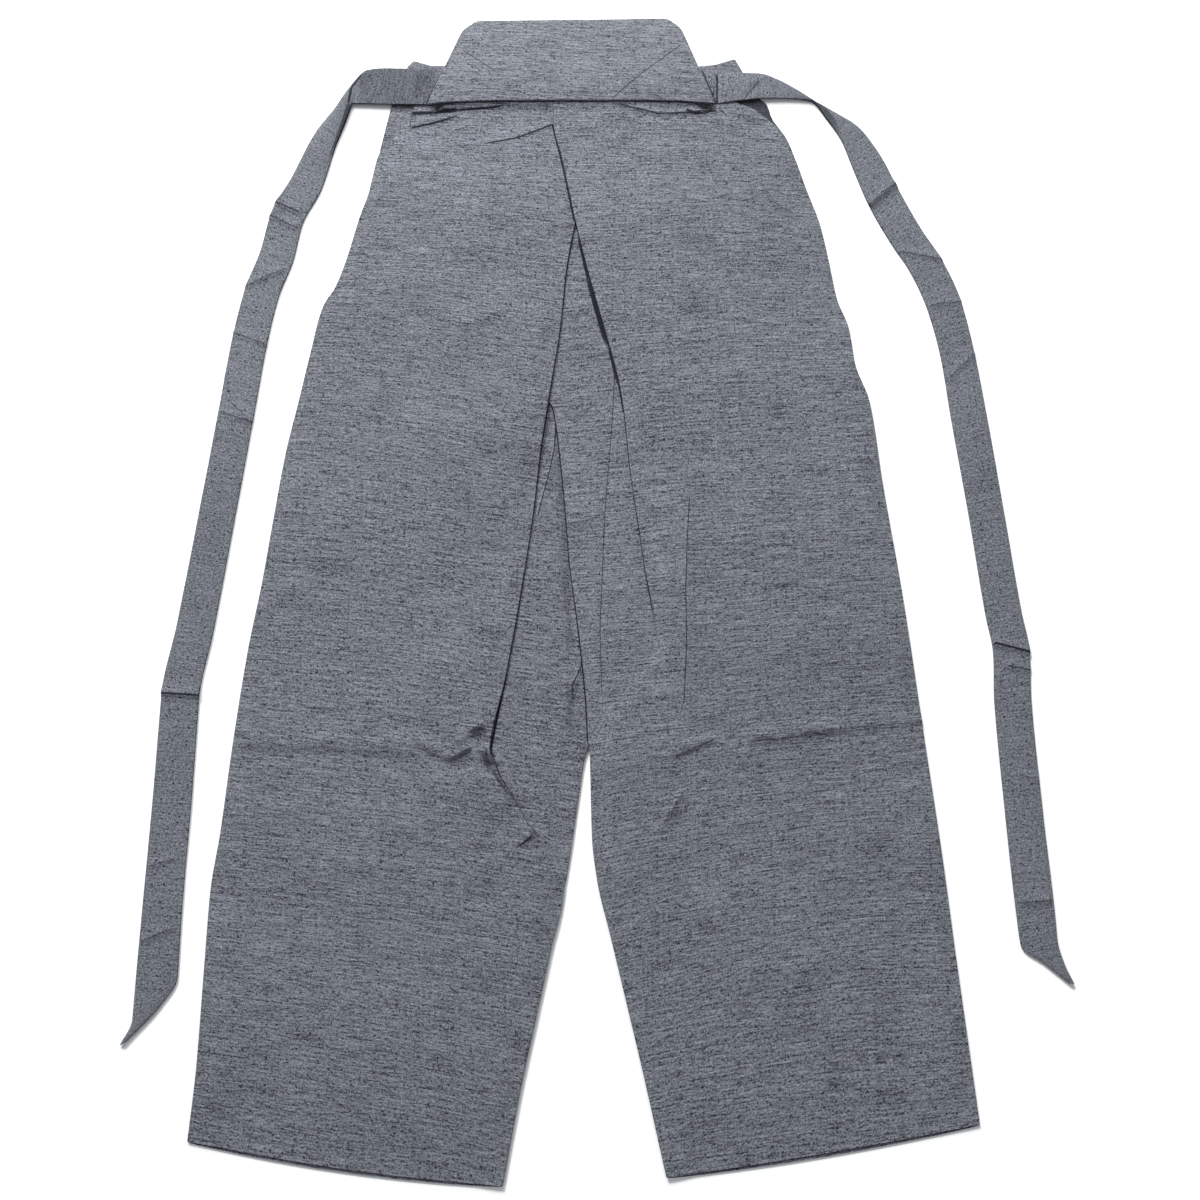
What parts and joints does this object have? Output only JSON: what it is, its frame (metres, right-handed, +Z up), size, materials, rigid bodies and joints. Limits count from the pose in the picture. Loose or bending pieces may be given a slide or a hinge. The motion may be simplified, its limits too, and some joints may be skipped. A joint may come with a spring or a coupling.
{
  "type": "hakama trousers",
  "caption": "Divided pleated trousers laid flat with the back up, with a stiff trapezoid back board, two long waist ties and an open centre-back vent over gussets.",
  "frame": {"origin": "centre of the laid-out garment's bounding box, on the floor", "axes": "+Y from the hems to the back board, +Z up from the floor, +X to the right of someone looking down on the back with the board at the top"},
  "size_m": [0.7362, 1.0158, 0.0145],
  "materials": {
    "back_board": "matte slub cloth over a stiff board",
    "back_tie_left": "matte slub cloth",
    "back_tie_right": "matte slub cloth",
    "back_panel_left": "matte slub cloth",
    "back_panel_right": "matte slub cloth",
    "gusset_left": "matte slub cloth",
    "gusset_right": "matte slub cloth",
    "front_panel_left": "matte slub cloth",
    "front_panel_right": "matte slub cloth",
    "front_waistband": "matte slub cloth",
    "front_tie_left": "matte slub cloth",
    "front_tie_right": "matte slub cloth"
  },
  "bodies": {
    "root": {"back_board": "back_board", "back_tie_left": "back_tie_left", "back_tie_right": "back_tie_right", "back_panel_left": "back_panel_left", "back_panel_right": "back_panel_right", "gusset_left": "gusset_left", "gusset_right": "gusset_right", "front_panel_left": "front_panel_left", "front_panel_right": "front_panel_right", "front_waistband": "front_waistband", "front_tie_left": "front_tie_left", "front_tie_right": "front_tie_right"}
  },
  "joints": []
}
